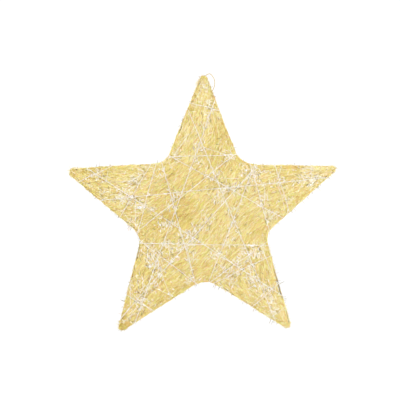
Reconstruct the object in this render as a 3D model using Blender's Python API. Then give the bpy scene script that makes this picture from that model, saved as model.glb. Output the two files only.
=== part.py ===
"""Star ornament: gold plant fibre on a bent wire star, wound with silver thread.

Lengths are in metres and angles in degrees. The star stands in the XZ plane with its front
towards -Y. Bearings are clockwise from the top arm, seen from the front. The origin is the
bend of the wire at the top tip, where the star hangs.
"""

import math

import bmesh
import bpy
from mathutils import Matrix, Vector
from mathutils.geometry import intersect_point_line

# Outline: the tips and inner corners, from the star's centre to where the straight edges would
# meet, and how they are rounded
ARMS = 5
TIP_RADIUS = 0.2222
CORNER_RADIUS = 0.0960
TIP_ROUNDING = 0.0061
CORNER_ROUNDING = 0.0220

# The star is bent by hand, so each tip and corner leans a little, is a little long or short, and
# is a little blunter or sharper than the others
TIP_LEANS = (0.2, -1.4, -1.3, -0.2, -0.1)
TIP_STRETCHES = (0.989, 0.990, 1.010, 1.006, 1.006)
TIP_BLUNTNESS = (1.00, 0.85, 1.05, 0.92, 1.18)
CORNER_LEANS = (0.6, -0.1, -2.0, -0.8, -0.3)
CORNER_STRETCHES = (0.976, 1.017, 0.997, 1.025, 1.003)
CORNER_BLUNTNESS = (1.45, 0.93, 1.09, 0.91, 0.69)

# Fibre mat: thin at the rim, and swelling towards the middle as the edge gets further away
RIM_THICKNESS = 0.0060
MIDDLE_THICKNESS = 0.0160
SWELL_DISTANCE = 0.0300
LIP_ROUNDING = 0.0008

# Frame wire, which lies in a groove round the rim of the mat
WIRE_DIAMETER = 0.0025
FIBRE_OVER_WIRE = 0.0005
WIRE_CLEARANCE = 0.0003

# Silver thread, wound over both faces in turn: each pair of bearings is one run over the front,
# and the thread goes back behind the star from the end of one run to the start of the next
THREAD_DIAMETER = 0.0008
THREAD_CLEARANCE = 0.0004
CROSSING_CLEARANCE = 0.0001
FRONT_RUNS = (
    (-114.2, 115.5), (-92.2, -45.8), (-82.2, 73.6), (-141.5, 47.6), (88.6, 55.3),
    (-173.8, -38.6), (135.7, -68.1), (132.0, 152.3), (28.5, -104.7), (113.1, 174.1),
    (-8.5, 145.9), (-30.3, 92.6), (-31.6, 29.8), (-174.8, -112.2), (-6.9, 9.2),
    (-147.8, 6.1), (-136.3, -153.0), (46.0, 175.0), (43.0, 104.1), (121.0, 171.5),
    (-106.0, -42.7), (-75.6, -61.8),
)

# Hanging loop: its route by hand, from the star's centre
LOOP_DIAMETER = 0.0010
LOOP_POINT_SPACING = 0.0025
LOOP_ROUTE = (
    (0.0033, 0.0, 0.2087),
    (0.0066, -0.0006, 0.2109),
    (0.0107, -0.0012, 0.2112),
    (0.0143, -0.0014, 0.2075),
    (0.0168, -0.0012, 0.2025),
    (0.0174, -0.0008, 0.1970),
    (0.0162, -0.0004, 0.1910),
    (0.0138, 0.0, 0.1857),
)

# Fineness of the surfaces
ARC_STEPS = 4
EDGE_STEPS = 5
WIRE_SIDES = 8
CROWN_RINGS = (0.30, 0.55, 0.75, 0.90)
RIM_TURN_STEPS = 2
THREAD_SAMPLE = 0.0010
THREAD_TOLERANCE = 0.00006
LOOP_CURVE_STEPS = 12


def polar(bearing, reach):
    """A place in the plane of the star, from its centre."""
    angle = math.radians(bearing)
    return Vector((reach * math.sin(angle), reach * math.cos(angle)))


def sharp_outline():
    """The tips and inner corners in turn, where the straight edges meet."""
    places = []
    step = 360 / ARMS
    for arm in range(ARMS):
        tip_bearing = arm * step + TIP_LEANS[arm]
        corner_bearing = (arm + 0.5) * step + CORNER_LEANS[arm]
        places.append(polar(tip_bearing, TIP_RADIUS * TIP_STRETCHES[arm]))
        places.append(polar(corner_bearing, CORNER_RADIUS * CORNER_STRETCHES[arm]))
    return places


def rounding_arc(place, before, after, radius, is_tip, inset):
    """The arc that rounds one tip or inner corner, moved inwards by inset."""
    to_before = (before - place).normalized()
    to_after = (after - place).normalized()
    middle = (to_before + to_after).normalized()
    half_angle = to_before.angle(to_after) / 2
    centre = place + middle * radius / math.sin(half_angle)
    reach = radius - inset if is_tip else radius + inset
    half_turn = math.pi / 2 - half_angle
    turn = -1 if is_tip else 1
    arc = []
    for step in range(ARC_STEPS + 1):
        angle = turn * half_turn * (2 * step / ARC_STEPS - 1)
        arc.append(centre + Matrix.Rotation(angle, 2) @ -middle * reach)
    return arc


def star_outline(inset=0.0, edge_steps=EDGE_STEPS):
    """The rounded outline, moved inwards by inset, as a closed row of places."""
    sharp = sharp_outline()
    arcs = []
    for index, place in enumerate(sharp):
        is_tip = index % 2 == 0
        rounding = TIP_ROUNDING if is_tip else CORNER_ROUNDING
        bluntness = TIP_BLUNTNESS if is_tip else CORNER_BLUNTNESS
        radius = rounding * bluntness[index // 2]
        after = sharp[(index + 1) % len(sharp)]
        arcs.append(rounding_arc(place, sharp[index - 1], after, radius, is_tip, inset))
    outline = []
    for index, arc in enumerate(arcs):
        next_start = arcs[(index + 1) % len(arcs)][0]
        outline += arc
        outline += [arc[-1].lerp(next_start, step / edge_steps) for step in range(1, edge_steps)]
    return outline


OUTLINE = star_outline()


def outline_edges():
    return zip(OUTLINE, OUTLINE[1:] + OUTLINE[:1])


def edge_distance(place):
    """How far a place inside the star is from the outline."""
    nearest = TIP_RADIUS
    for start, end in outline_edges():
        foot, share = intersect_point_line(place, start, end)
        foot = start if share < 0 else end if share > 1 else foot.to_2d()
        nearest = min(nearest, (place - foot).length)
    return nearest


def swell(distance):
    return 1 - math.exp(-distance / SWELL_DISTANCE)


MIDDLE_SWELL = swell(edge_distance(Vector((0, 0))))


def half_thickness(place):
    """Height of the face of the mat over the plane of the star."""
    rise = (MIDDLE_THICKNESS - RIM_THICKNESS) * swell(edge_distance(place)) / MIDDLE_SWELL
    return (RIM_THICKNESS + rise) / 2


def station(bearing):
    """Where a ray from the centre leaves the star, and the way out of the rim there."""
    ray = polar(bearing, 1.0)
    for start, end in outline_edges():
        along = end - start
        side = ray.cross(along)
        share = start.cross(ray) / side if side else -1
        reach = start.cross(along) / side if side else -1
        if 0 <= share <= 1 and reach > 0:
            return start.lerp(end, share), Vector((-along.y, along.x)).normalized()
    raise ValueError("no edge at this bearing")


def in_space(place, depth):
    """A place in the plane of the star, moved along Y by depth."""
    return Vector((place.x, depth, place.y))


def material(name, colour, metallic, roughness):
    made = bpy.data.materials.new(name)
    made.use_nodes = True
    shader = made.node_tree.nodes["Principled BSDF"]
    shader.inputs["Base Color"].default_value = (*colour, 1.0)
    shader.inputs["Metallic"].default_value = metallic
    shader.inputs["Roughness"].default_value = roughness
    return made


def add_object(name, data, finish, parent):
    data.materials.append(finish)
    made = bpy.data.objects.new(name, data)
    made.parent = parent
    bpy.context.scene.collection.objects.link(made)
    return made


def bridge(mesh, rings, closed):
    """Faces between each ring of vertices and the next, and back to the first if closed."""
    pairs = list(zip(rings, rings[1:]))
    if closed:
        pairs.append((rings[-1], rings[0]))
    for first, second in pairs:
        for index in range(len(first)):
            following = (index + 1) % len(first)
            mesh.faces.new((first[index], first[following], second[following], second[index]))


def finished_mesh(name, mesh, sharp_angle):
    bmesh.ops.recalc_face_normals(mesh, faces=mesh.faces)
    data = bpy.data.meshes.new(name)
    mesh.to_mesh(data)
    mesh.free()
    data.shade_smooth()
    data.set_sharp_from_angle(angle=math.radians(sharp_angle))
    return data


def wire_mesh():
    """A round wire bent to the star: one outline for each line along its surface."""
    mesh = bmesh.new()
    radius = WIRE_DIAMETER / 2
    rings = []
    for side in range(WIRE_SIDES):
        angle = math.tau * (side + 0.5) / WIRE_SIDES
        inset = FIBRE_OVER_WIRE + radius * (1 - math.cos(angle))
        line = star_outline(inset, edge_steps=1)
        rings.append([mesh.verts.new(in_space(place, radius * math.sin(angle))) for place in line])
    bridge(mesh, rings, closed=True)
    return finished_mesh("wire_frame", mesh, 50)


def face_rings(mesh, front):
    """One face of the mat, from the ring round its middle out to the lip."""
    lip = star_outline(LIP_ROUNDING)
    rings = []
    for share in CROWN_RINGS:
        ring = [place * share for place in lip]
        rings.append([mesh.verts.new(in_space(p, front * half_thickness(p))) for p in ring])
    depth = front * RIM_THICKNESS / 2
    rings.append([mesh.verts.new(in_space(place, depth)) for place in lip])
    return rings


def mat_mesh():
    """The fibre mat, crowned on both faces, with the groove round its rim for the wire."""
    mesh = bmesh.new()
    front, back = face_rings(mesh, -1), face_rings(mesh, 1)
    groove_depth = FIBRE_OVER_WIRE + WIRE_DIAMETER + WIRE_CLEARANCE
    groove_half = WIRE_DIAMETER / 2 + WIRE_CLEARANCE
    lip_half = RIM_THICKNESS / 2 - LIP_ROUNDING
    rim_profile = (
        (0, -lip_half), (0, -groove_half), (groove_depth, -groove_half),
        (groove_depth, groove_half), (0, groove_half), (0, lip_half),
    )
    rim = []
    for inset, depth in rim_profile:
        rim.append([mesh.verts.new(in_space(place, depth)) for place in star_outline(inset)])
    bridge(mesh, front + rim + back[::-1], closed=False)
    for rings, side in ((front, -1), (back, 1)):
        middle = mesh.verts.new((0, side * MIDDLE_THICKNESS / 2, 0))
        ring = rings[0]
        for index, vertex in enumerate(ring):
            mesh.faces.new((middle, vertex, ring[(index + 1) % len(ring)]))
    return finished_mesh("sisal_mat", mesh, 40)


def height_over(laid_run, place):
    """Least height of a thread that passes over an earlier one, or 0 where it is clear."""
    start, end, profile = laid_run
    share = intersect_point_line(place, start, end)[1]
    if not 0 <= share <= 1:
        return 0.0
    beside = (place - start.lerp(end, share)).length
    pitch = THREAD_DIAMETER + CROSSING_CLEARANCE
    if beside >= pitch:
        return 0.0
    for (first, low), (second, high) in zip(profile, profile[1:]):
        if share <= second:
            height = low + (high - low) * (share - first) / (second - first)
            return height + math.sqrt(pitch ** 2 - beside ** 2)
    return 0.0


def pulled_tight(samples):
    """The points that a string touches when it is pulled straight over the samples."""
    touched = []
    for sample in samples:
        while len(touched) > 1:
            (x0, y0), (x1, y1) = touched[-2:]
            if (y1 - y0) * (sample[0] - x0) > (sample[1] - y0) * (x1 - x0):
                break
            touched.pop()
        touched.append(sample)
    return touched


def thinned(points):
    """The same line with fewer points, nowhere further off than the tolerance."""
    (x0, y0), (x1, y1) = points[0], points[-1]
    gaps = [y - y0 - (y1 - y0) * (x - x0) / (x1 - x0) for x, y in points]
    widest = max(gaps)
    if widest <= THREAD_TOLERANCE:
        return [points[0], points[-1]]
    middle = gaps.index(widest)
    return thinned(points[:middle + 1])[:-1] + thinned(points[middle:])


def tight_run(start, end, laid):
    """Heights of a thread pulled tight over the mat and over the threads laid before it."""
    count = math.ceil((end - start).length / THREAD_SAMPLE)
    lift = THREAD_CLEARANCE + THREAD_DIAMETER / 2
    samples = []
    for step in range(count + 1):
        place = start.lerp(end, step / count)
        heights = [height_over(run, place) for run in laid]
        samples.append((step / count, max([half_thickness(place) + lift] + heights)))
    return thinned(pulled_tight(samples))


def rim_turn(bearing, from_side):
    """The thread's way round the rim, from one face to the other."""
    place, outward = station(bearing)
    lift = THREAD_CLEARANCE + THREAD_DIAMETER / 2
    points = []
    for side in (from_side, -from_side):
        quarter = []
        for step in range(1, RIM_TURN_STEPS + 1):
            angle = math.pi / 2 * step / RIM_TURN_STEPS
            depth = side * (RIM_THICKNESS / 2 + lift * math.cos(angle))
            quarter.append(in_space(place + outward * lift * math.sin(angle), depth))
        points += quarter if side == from_side else quarter[::-1]
    return points


def thread_route():
    """The whole thread as one closed row of points, over the front and back in turn."""
    points = []
    laid = {-1: [], 1: []}
    bearings = [bearing for run in FRONT_RUNS for bearing in run]
    for index, bearing in enumerate(bearings):
        side = -1 if index % 2 == 0 else 1
        next_bearing = bearings[(index + 1) % len(bearings)]
        start, end = station(bearing)[0], station(next_bearing)[0]
        profile = tight_run(start, end, laid[side])
        laid[side].append((start, end, profile))
        points += [in_space(start.lerp(end, share), side * height) for share, height in profile]
        points += rim_turn(next_bearing, side)
    return points


def tube(name, points, diameter, closed, resolution):
    """A round tube along a row of points."""
    curve = bpy.data.curves.new(name, "CURVE")
    curve.dimensions = "3D"
    curve.resolution_u = 1
    curve.bevel_depth = diameter / 2
    curve.bevel_resolution = resolution
    curve.use_fill_caps = not closed
    spline = curve.splines.new("POLY")
    spline.points.add(len(points) - 1)
    for spline_point, place in zip(spline.points, points):
        spline_point.co = (*place, 1.0)
    spline.use_cyclic_u = closed
    spline.use_smooth = True
    return curve


def smooth_route(route, spacing):
    """Points at an even spacing on a smooth curve through the route's own points."""
    route = [Vector(place) for place in route]
    ends = [route[0] * 2 - route[1]] + route + [route[-1] * 2 - route[-2]]
    fine = [route[0]]
    for before, start, end, after in zip(ends, ends[1:], ends[2:], ends[3:]):
        for step in range(1, LOOP_CURVE_STEPS + 1):
            t = step / LOOP_CURVE_STEPS
            place = start * 2 + (end - before) * t
            place += (before * 2 - start * 5 + end * 4 - after) * t ** 2
            place += (start * 3 - before - end * 3 + after) * t ** 3
            fine.append(place / 2)
    length = sum((b - a).length for a, b in zip(fine, fine[1:]))
    pitch = length / round(length / spacing)
    points, walked = [fine[0]], 0.0
    for start, end in zip(fine, fine[1:]):
        step = (end - start).length
        while walked + step >= pitch * len(points) and pitch * len(points) < length - pitch / 2:
            points.append(start.lerp(end, (pitch * len(points) - walked) / step))
        walked += step
    return points + [fine[-1]]


def make_star():
    for old in list(bpy.data.objects):
        bpy.data.objects.remove(old)
    # The top tip's wire bend, on the wire's centre line, is the origin
    top_bend = star_outline(FIBRE_OVER_WIRE + WIRE_DIAMETER / 2)[ARC_STEPS // 2]
    centre = bpy.data.objects.new("star_centre", None)
    centre.location = (-top_bend.x, 0, -top_bend.y)
    bpy.context.scene.collection.objects.link(centre)
    steel = material("dark_steel", (0.10, 0.09, 0.06), 0.9, 0.45)
    fibre = material("gold_fibre", (0.84, 0.69, 0.31), 0.0, 0.7)
    silver = material("silver_thread", (0.85, 0.84, 0.80), 0.8, 0.3)
    gold = material("gold_thread", (0.75, 0.58, 0.24), 0.5, 0.4)
    add_object("wire_frame", wire_mesh(), steel, centre)
    add_object("sisal_mat", mat_mesh(), fibre, centre)
    winding = tube("silver_thread", thread_route(), THREAD_DIAMETER, True, 0)
    add_object("silver_thread", winding, silver, centre)
    loop_points = smooth_route(LOOP_ROUTE, LOOP_POINT_SPACING)
    loop = tube("hanging_loop", loop_points, LOOP_DIAMETER, False, 2)
    add_object("hanging_loop", loop, gold, centre)


make_star()
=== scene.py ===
"""Star ornament, dressed: gold plant fibre wound on a wire star, with silver thread and tinsel.

Lengths are in metres and angles in degrees, unless a name says pixels. Places in the plane of the
star are pairs (x, z) from its centre, bearings are clockwise from the top arm, leans are
anticlockwise from +X as the photograph shows them, and the front faces -Y.
"""

import math

import bpy
import numpy as np
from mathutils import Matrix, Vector


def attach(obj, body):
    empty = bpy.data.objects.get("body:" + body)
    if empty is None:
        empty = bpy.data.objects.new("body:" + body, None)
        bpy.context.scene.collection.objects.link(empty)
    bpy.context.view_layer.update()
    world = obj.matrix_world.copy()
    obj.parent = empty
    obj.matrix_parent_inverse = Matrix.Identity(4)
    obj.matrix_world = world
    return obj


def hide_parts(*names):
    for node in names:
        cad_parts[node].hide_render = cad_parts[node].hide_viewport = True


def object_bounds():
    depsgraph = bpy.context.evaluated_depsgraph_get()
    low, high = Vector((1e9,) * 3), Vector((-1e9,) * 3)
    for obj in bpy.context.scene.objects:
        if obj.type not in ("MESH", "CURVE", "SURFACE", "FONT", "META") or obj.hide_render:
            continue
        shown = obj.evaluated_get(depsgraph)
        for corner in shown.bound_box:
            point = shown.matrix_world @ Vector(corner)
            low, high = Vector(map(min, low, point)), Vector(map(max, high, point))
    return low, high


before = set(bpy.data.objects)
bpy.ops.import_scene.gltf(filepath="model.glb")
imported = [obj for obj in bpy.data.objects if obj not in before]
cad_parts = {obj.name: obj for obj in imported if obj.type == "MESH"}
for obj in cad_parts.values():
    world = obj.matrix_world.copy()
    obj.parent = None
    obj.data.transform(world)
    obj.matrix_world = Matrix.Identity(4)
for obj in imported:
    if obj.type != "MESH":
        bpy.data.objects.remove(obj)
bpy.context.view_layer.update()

DRAW = np.random.default_rng(7)

# The photograph's frame
PHOTO_PIXELS = 400
PIXEL_SIZE = 0.001504
CENTRE_PIXEL = (202.7, 214.0)
CAMERA_DISTANCE = 2.6
SENSOR_WIDTH = 36.0
BACKWARD = np.array((0.0, 1.0, 0.0))

# The star's outline, as the frame was made
ARMS = 5
TIP_RADIUS = 0.2222
CORNER_RADIUS = 0.0960
TIP_ROUNDING = 0.0061
CORNER_ROUNDING = 0.0220
TIP_LEANS = (0.2, -1.4, -1.3, -0.2, -0.1)
TIP_STRETCHES = (0.989, 0.990, 1.010, 1.006, 1.006)
TIP_BLUNTNESS = (1.00, 0.85, 1.05, 0.92, 1.18)
CORNER_LEANS = (0.6, -0.1, -2.0, -0.8, -0.3)
CORNER_STRETCHES = (0.976, 1.017, 0.997, 1.025, 1.003)
CORNER_BLUNTNESS = (1.45, 0.93, 1.09, 0.91, 0.69)
ARC_STEPS = 8

# The mat's thickness, and how far in the middle of the wire is, as the frame was made
RIM_THICKNESS = 0.0060
MIDDLE_THICKNESS = 0.0160
SWELL_DISTANCE = 0.0300
WIRE_INSET = 0.00175

# Runs of the silver thread over the front, by the bearings of their two ends
FRONT_RUNS = (
    (-114.2, 115.5), (-92.2, -45.8), (-82.2, 73.6), (-141.5, 47.6), (88.6, 55.3),
    (-173.8, -38.6), (135.7, -68.1), (132.0, 152.3), (28.5, -104.7), (113.1, 174.1),
    (-8.5, 145.9), (-30.3, 92.6), (-31.6, 29.8), (-174.8, -112.2), (-6.9, 9.2),
    (-147.8, 6.1), (-136.3, -153.0), (46.0, 175.0), (43.0, 104.1), (121.0, 171.5),
    (-106.0, -42.7), (-75.6, -61.8),
)
TAPE_WIDTH = 0.00088
TAPE_THICKNESS = 0.0006
TAPE_TONE = 0.5
TAPE_TWIST = 0.6
TAPE_TILT = 0.6
TAPE_SIDES = 5
LAP_RINGS = 110
RIM_TURN_RINGS = 7
RIM_TURN_REACH = 0.0008
THREAD_STEP = 0.0015
THREAD_SWAY = 0.0003
THREAD_SWAYS = 1.5
THREAD_LAYER = 0.0003
THREAD_LAYERS = 4
RUN_INSET = 0.0015

# Short stretches of finer silver thread on the front, in the photograph's pixels
FINE_RUNS = (
    ((203, 147), (228, 155)), ((277, 185), (281, 195)), ((281, 195), (285, 213)),
    ((282, 163), (276, 180)), ((161, 273), (171, 299)), ((276, 280), (250, 304)),
    ((129, 291), (152, 311)), ((108, 170), (105, 183)), ((186, 245), (191, 266)),
    ((210, 245), (236, 266)), ((189, 133), (174, 154)), ((196, 130), (180, 139)),
    ((238, 253), (264, 253)), ((262, 249), (271, 273)), ((284, 307), (268, 318)),
    ((152, 286), (175, 297)), ((130, 279), (130, 305)), ((137, 180), (100, 182)),
    ((144, 172), (129, 182)), ((223, 178), (241, 178)), ((302, 168), (316, 168)),
    ((201, 89), (195, 99)), ((264, 185), (264, 203)), ((125, 192), (136, 203)),
    ((135, 201), (135, 228)), ((247, 274), (259, 290)), ((205, 112), (212, 113)),
)
FINE_WIDTH = 0.00062
FINE_FLATNESS = 0.5
FINE_BEND = 0.08
FINE_STEPS = 12
FINE_LIFT = 0.0005
FINE_TONES = (0.3, 0.9)

# Tinsel on the front: patches in the photograph's pixels, as (x, y, radius, strands, lean)
TINSEL_PATCHES = (
    (210, 103, 5, 26, 10), (208, 114, 5, 16, 0), (204, 124, 4, 8, 75), (199, 147, 6, 40, 100),
    (196, 160, 4, 12, 80), (177, 156, 6, 24, 20), (227, 156, 5, 26, 160), (213, 172, 7, 44, 95),
    (222, 186, 6, 30, 110), (236, 187, 7, 40, 60), (219, 199, 6, 28, 60), (209, 217, 5, 20, 60),
    (197, 228, 6, 34, 58), (249, 172, 8, 80, 120), (256, 184, 6, 20, 45), (262, 201, 6, 28, 110),
    (270, 214, 6, 28, 60), (281, 182, 5, 18, 100), (308, 174, 8, 52, 150), (317, 180, 6, 30, 40),
    (299, 184, 6, 16, 60), (282, 200, 5, 10, 90), (127, 194, 8, 60, 30), (140, 204, 7, 44, 150),
    (153, 212, 5, 18, 140), (98, 176, 6, 26, 110), (86, 184, 5, 16, 30), (104, 192, 6, 20, 20),
    (138, 177, 6, 24, 60), (146, 169, 5, 14, 100), (160, 172, 5, 10, 100), (135, 224, 6, 26, 60),
    (173, 193, 6, 34, 100), (172, 207, 5, 22, 90), (169, 222, 5, 22, 80), (178, 234, 5, 20, 120),
    (190, 241, 9, 90, 50), (176, 246, 6, 24, 20), (165, 246, 7, 34, 100), (150, 250, 8, 60, 80),
    (143, 243, 5, 16, 60), (155, 263, 8, 62, 110), (158, 274, 7, 44, 60), (150, 285, 7, 30, 60),
    (137, 280, 7, 22, 100), (141, 299, 8, 56, 120), (133, 311, 8, 50, 60), (127, 320, 5, 12, 130),
    (172, 297, 4, 12, 110), (168, 262, 6, 16, 135), (190, 258, 5, 14, 90), (190, 275, 5, 16, 135),
    (216, 255, 7, 40, 130), (229, 243, 5, 12, 90), (234, 226, 5, 26, 95), (231, 212, 4, 14, 95),
    (246, 250, 6, 26, 140), (256, 250, 7, 52, 100), (228, 270, 8, 44, 40), (240, 264, 8, 60, 130),
    (250, 274, 8, 56, 130), (217, 280, 6, 28, 30), (195, 281, 5, 14, 40), (262, 285, 6, 22, 65),
    (268, 294, 7, 40, 60), (270, 308, 7, 30, 0), (161, 225, 6, 30, 90), (301, 169, 6, 26, 150),
    (315, 184, 6, 22, 40), (259, 169, 5, 10, 60), (131, 183, 6, 26, 30), (119, 198, 6, 24, 60),
    (234, 281, 6, 30, 40), (203, 225, 5, 18, 60), (175, 253, 5, 18, 100), (132, 283, 6, 20, 100),
    (273, 184, 5, 18, 100), (203, 86, 4, 10, 20),
)
BACK_PATCHES = 60
BACK_PATCH_RADII = (0.007, 0.013)
BACK_PATCH_STRANDS = (15, 50)
BACK_PATCH_MARGIN = 0.004
FACE_INSET = 0.0005
TINSEL_OVERHANG = 0.0004
TINSEL_FLATNESS = 0.4

# Crinkled tinsel: its share of each patch, and the form of its crinkles
CRINKLED_SHARE = 0.04
CRINKLED_WIDTHS = (0.00055, 0.00075)
CRINKLES = 6
CRINKLE_STEPS = 2
CRINKLE_SWINGS = (0.004, 0.008)
CRINKLE_PITCHES = (0.0024, 0.0040)
CRINKLE_SPREAD = 0.5
CRINKLE_TURN = 0.25
CRINKLE_WAVER = 0.0003
CRINKLE_LIFTS = (0.0001, 0.0005)

# Straight tinsel: combed in rows in each patch, some of it crosswise, and more along the thread
TINSEL_SHARE = 0.64
TINSEL_LENGTHS = (0.0030, 0.0065)
TINSEL_WIDTHS = (0.00062, 0.00088)
TINSEL_LIFTS = (0.0, 0.0005)
TINSEL_BEND = 0.25
TINSEL_TURN = 0.12
CROSSWISE_SHARE = 0.35
CROSSWISE_TURNS = (1.1, 0.25)
PATCH_REACH = 1.1
COMB_SPACING = 0.0042
COMB_WAVER = 0.0002
TINSEL_ON_RUNS = 360
RUN_SPREAD = 0.0012
RUN_TURN = 0.9
LOOSE_TINSEL = 300
LOOSE_MARGIN = 0.002
DARK_TINSEL_SHARE = 0.33
DARK_TINSEL_TONES = (0.0, 0.25)
BRIGHT_TONES = (0.4, 1.0)

# Stray ends past the outline, in the photograph's pixels, and how many more there are
STRAY_TINSEL = (
    (119, 299), (121, 297), (123, 296), (120, 300), (126, 229), (129, 231), (114, 216), (117, 218),
    (212, 288), (214, 289), (217, 290), (219, 288), (252, 312), (254, 311), (270, 325), (268, 324),
    (284, 281), (288, 297), (286, 299), (294, 214), (296, 212), (309, 200), (305, 204), (237, 146),
    (160, 157), (157, 159), (99, 161), (96, 163), (176, 126), (116, 320), (117, 313), (121, 306),
    (139, 236), (272, 262), (276, 270), (322, 192), (331, 180), (84, 187), (92, 196), (186, 289),
)
STRAY_FIBRES = (
    (195, 80), (194, 82), (196, 79), (197, 78), (195, 84), (195, 83), (194, 84), (196, 81),
    (195, 81), (118, 327), (115, 323), (291, 322), (332, 177), (66, 170), (68, 165), (337, 168),
    (158, 162), (239, 158), (127, 231), (281, 219), (214, 287), (199, 284),
)
LOOSE_ENDS = 240
STRAY_TINSEL_LENGTHS = (0.0010, 0.0050)
STRAY_TINSEL_TONES = (0.0, 0.35)
STRAY_FIBRE_LENGTHS = (0.0008, 0.0028)
STRAY_FIBRE_TONES = (0.1, 0.6)
STRAY_WIDTHS = (0.00030, 0.00060)
CHOSEN_EXTRA_WIDTH = 0.0002
CHOSEN_ROOT_DEPTH = 0.0028
ROOT_SPREAD = 0.0010
LOOSE_ROOT_DEPTH = 0.0010
STRAY_SWING = 0.9
STRAY_BEND = 0.8
STRAY_DEPTH_SPREAD = 0.0012
STRAY_WAVER = 0.0005

# Where white shows through the mat, as (x, y) in pixels and a radius
PINHOLES = (
    ((139, 207), 0.0021), ((246, 170), 0.0012), ((149, 266), 0.0012), ((152, 290), 0.0008),
    ((168, 293), 0.0008), ((255, 286), 0.0010), ((258, 249), 0.0010), ((212, 172), 0.0008),
)

# Stretches of the rim where the wire shows through its winding, in pixels, with how bare they are
BARE_STRETCHES = (
    (((209, 85), (212, 93)), 0.75), (((197, 84), (194, 92)), 0.35),
    (((139, 243), (136, 256)), 0.85), (((135, 262), (131, 276)), 0.45),
    (((130, 280), (127, 298)), 0.50), (((274, 272), (276, 280)), 0.85),
    (((278, 286), (280, 293)), 0.85), (((270, 258), (274, 270)), 0.30),
    (((285, 309), (288, 320)), 0.35), (((124, 220), (132, 227)), 0.65),
    (((80, 183), (86, 188)), 0.60), (((331, 172), (324, 178)), 0.60),
    (((225, 289), (232, 294)), 0.75), (((176, 134), (180, 124)), 0.60),
    (((153, 309), (170, 300)), 0.20), (((244, 302), (252, 307)), 0.50),
)
BARE_WIDTH = 0.0013
SPOT_SPACING = 0.003
NOTCH_SLACK = 0.0014

# Where the fibre is darker or paler than the rest, as (x, y, radius) in pixels and the change: partly
# the fibre's own tone, partly painted shade and painted light for broad shading
TONE_AND_SHADE_PLACES = (
    ((178, 215, 24), -0.17), ((122, 321, 9), -0.24), ((312, 172, 14), 0.14), ((203, 98, 12), 0.10),
    ((186, 132, 10), 0.10), ((128, 182, 16), 0.08), ((255, 215, 20), 0.04), ((230, 140, 14), -0.04),
    ((144, 288, 20), -0.12), ((276, 300, 16), 0.08), ((158, 222, 12), -0.06), ((216, 156, 12), -0.07),
    ((98, 169, 12), -0.06), ((254, 262, 8), -0.08), ((230, 192, 12), 0.06), ((203, 87, 7), 0.12),
    ((231, 155, 10), -0.10), ((175, 211, 9), -0.09), ((133, 225, 8), -0.10), ((147, 267, 8), 0.08),
    ((162, 271, 8), -0.08), ((161, 169, 8), -0.07), ((259, 309, 8), 0.12), ((217, 211, 8), 0.07),
    ((245, 198, 8), 0.08), ((172, 293, 9), -0.06),
)

# Fine fibre on the faces, in tufts; tones are a middle and a spread
FRONT_LAYERS = ("front_fibres_low", "front_fibres_middle", "front_fibres_high")
TUFTS_IN_LAYER = 5800
BACK_TUFTS = 6200
STRANDS_IN_TUFT = 2
STRAND_STEPS = 2
FACE_MARGIN = 0.0003
STRAND_MARGIN = 0.0007
TUFT_LENGTHS = (0.007, 0.019)
TUFT_TURN = 0.22
TUFT_TONES = (0.515, 0.08)
LENGTH_SHARES = (0.8, 1.2)
STRAND_TURN = 0.05
TONE_SPREAD = 0.24
STRAND_WIDTHS = (0.00030, 0.00056)
STRAND_FLATNESS = 0.6
SPREAD_ACROSS = 0.00020
SPREAD_ALONG = 0.0008
DEEPEST_SINK = 0.0008
SINK_SPREAD = 0.00012
FULL_SINK_HEIGHT = 0.003
LEAST_SINK_SHARE = 0.3
LEAST_DEPTH = 0.0002
# How much darker the lowest strands are painted: painted shade under the strands above them
DEEPEST_PAINTED_SHADE = 0.08

# Coarse strands between the faces, darker than the faces' fibre: painted shade in the gaps between the
# face fibres
HEART_STRANDS = 4600
HEART_LENGTHS = (0.025, 0.060)
HEART_WIDTHS = (0.0009, 0.0015)
HEART_FLATNESS = 0.35
HEART_TURN = 0.9
HEART_TONES = (0.40, 0.14)
HEART_INSET = 0.0008
HEART_MARGIN = 0.0012
HEART_DEPTH_SHARE = 0.75

# Fibres drawn along the rim, and wraps wound over it
RIM_STRANDS = 560
RIM_STEPS = 8
RIM_LENGTHS = (0.012, 0.040)
RIM_SLANT = 0.13
RIM_TONES = (0.42, 0.28)
RIM_SINKS = (-0.0002, 0.0006)
RIM_MARGIN = 0.0006
RIM_BAND = 0.0022
LEAST_RIM_INSET = 0.0002
RIM_WIDTHS = (0.0003, 0.0007)
RIM_WRAPS = 1350
WRAP_STEPS = 6
WRAP_REACHES = (0.004, 0.014)
WRAP_SLANT = 0.008
WRAP_SLACK = 0.0002
WRAP_TIGHTNESS = 0.0004
WRAP_TONES = (0.45, 0.30)
WRAP_FLATNESS = 0.7
WRAP_FACING = (0.3, 1.0, 0.2)
WRAP_LIMIT = 0.0012
WRAP_LIFT = 0.0002
WRAP_ROUNDING = 1.6

# Hanging loop: its route, from the star's centre, as (x, y, z)
LOOP_DIAMETER = 0.0010
LOOP_ROUTE = (
    (0.0033, 0.0, 0.2087), (0.0066, -0.0006, 0.2109), (0.0107, -0.0012, 0.2112),
    (0.0143, -0.0014, 0.2075), (0.0168, -0.0012, 0.2025), (0.0174, -0.0008, 0.1970),
    (0.0162, -0.0004, 0.1910), (0.0138, 0.0, 0.1857),
)
LOOP_CURVE_STEPS = 6

# How each strand is made: how far it rolls, its taper, and its place on its map
STRAND_ROLL = 0.22
STRAND_TAPER = 0.35
MAP_WIDTH = 0.02
MAP_LENGTH = 0.38
CAP_FOLD = 0.02

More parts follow.
